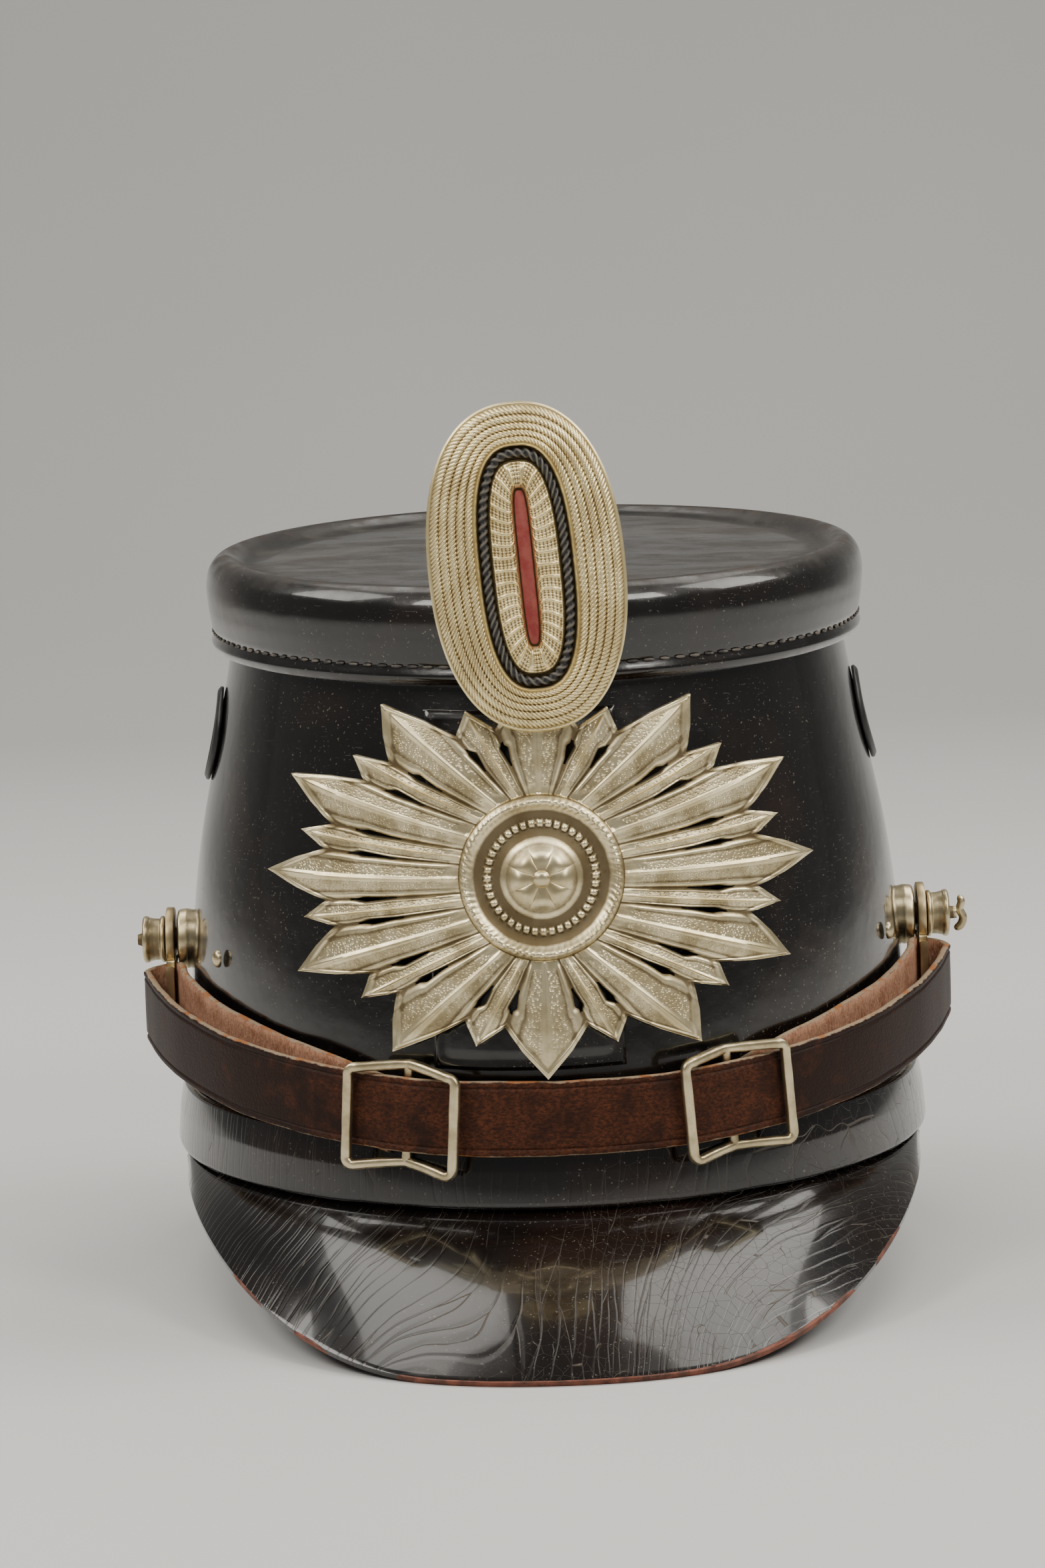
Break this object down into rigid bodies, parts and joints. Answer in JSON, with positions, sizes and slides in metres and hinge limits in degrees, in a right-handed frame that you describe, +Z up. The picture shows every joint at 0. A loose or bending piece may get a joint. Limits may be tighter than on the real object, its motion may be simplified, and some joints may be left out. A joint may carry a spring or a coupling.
{
  "type": "shako hat",
  "caption": "Black lacquered leather shako with front and rear visors, a rayed metal front plate, an oval cockade, side vents and a buckled chin strap.",
  "frame": {"origin": "middle of the hat's box on the surface that it stands on", "axes": "+Z up, the front visor and plate towards -Y, +X to the right in a view from the front"},
  "size_m": [0.2069, 0.2861, 0.2135],
  "materials": {
    "crown_leather": "glossy black lacquer",
    "visor_leather": "crazed black patent",
    "strap_leather": "worn dark brown grain",
    "nickel_silver": "satin nickel silver with a warm patina",
    "cockade_silver": "pale champagne silver",
    "black_metal": "black lacquer",
    "red_paint": "matte red"
  },
  "bodies": {
    "root": {"crown_body": "crown_leather", "crown_cap": "crown_leather", "base_band": "visor_leather", "front_visor": "visor_leather", "rear_visor": "visor_leather", "cockade_pocket": "crown_leather", "front_plate": "nickel_silver", "cockade_shell": "cockade_silver", "cockade_rope_ring": "black_metal", "cockade_centre": "cockade_silver", "cockade_inlay": "red_paint", "cockade_tongue": "nickel_silver", "boss_left": "nickel_silver", "boss_right": "nickel_silver", "boss_nut_left": "nickel_silver", "boss_nut_right": "nickel_silver", "boss_rivet_left": "nickel_silver", "boss_rivet_right": "nickel_silver", "strap_hook_left": "nickel_silver", "strap_hook_right": "nickel_silver", "vent_ring_left": "black_metal", "vent_ring_right": "black_metal", "vent_screen_left": "black_metal", "vent_screen_right": "black_metal", "chin_strap": "strap_leather", "buckle_left": "nickel_silver", "buckle_right": "nickel_silver"}
  },
  "joints": []
}
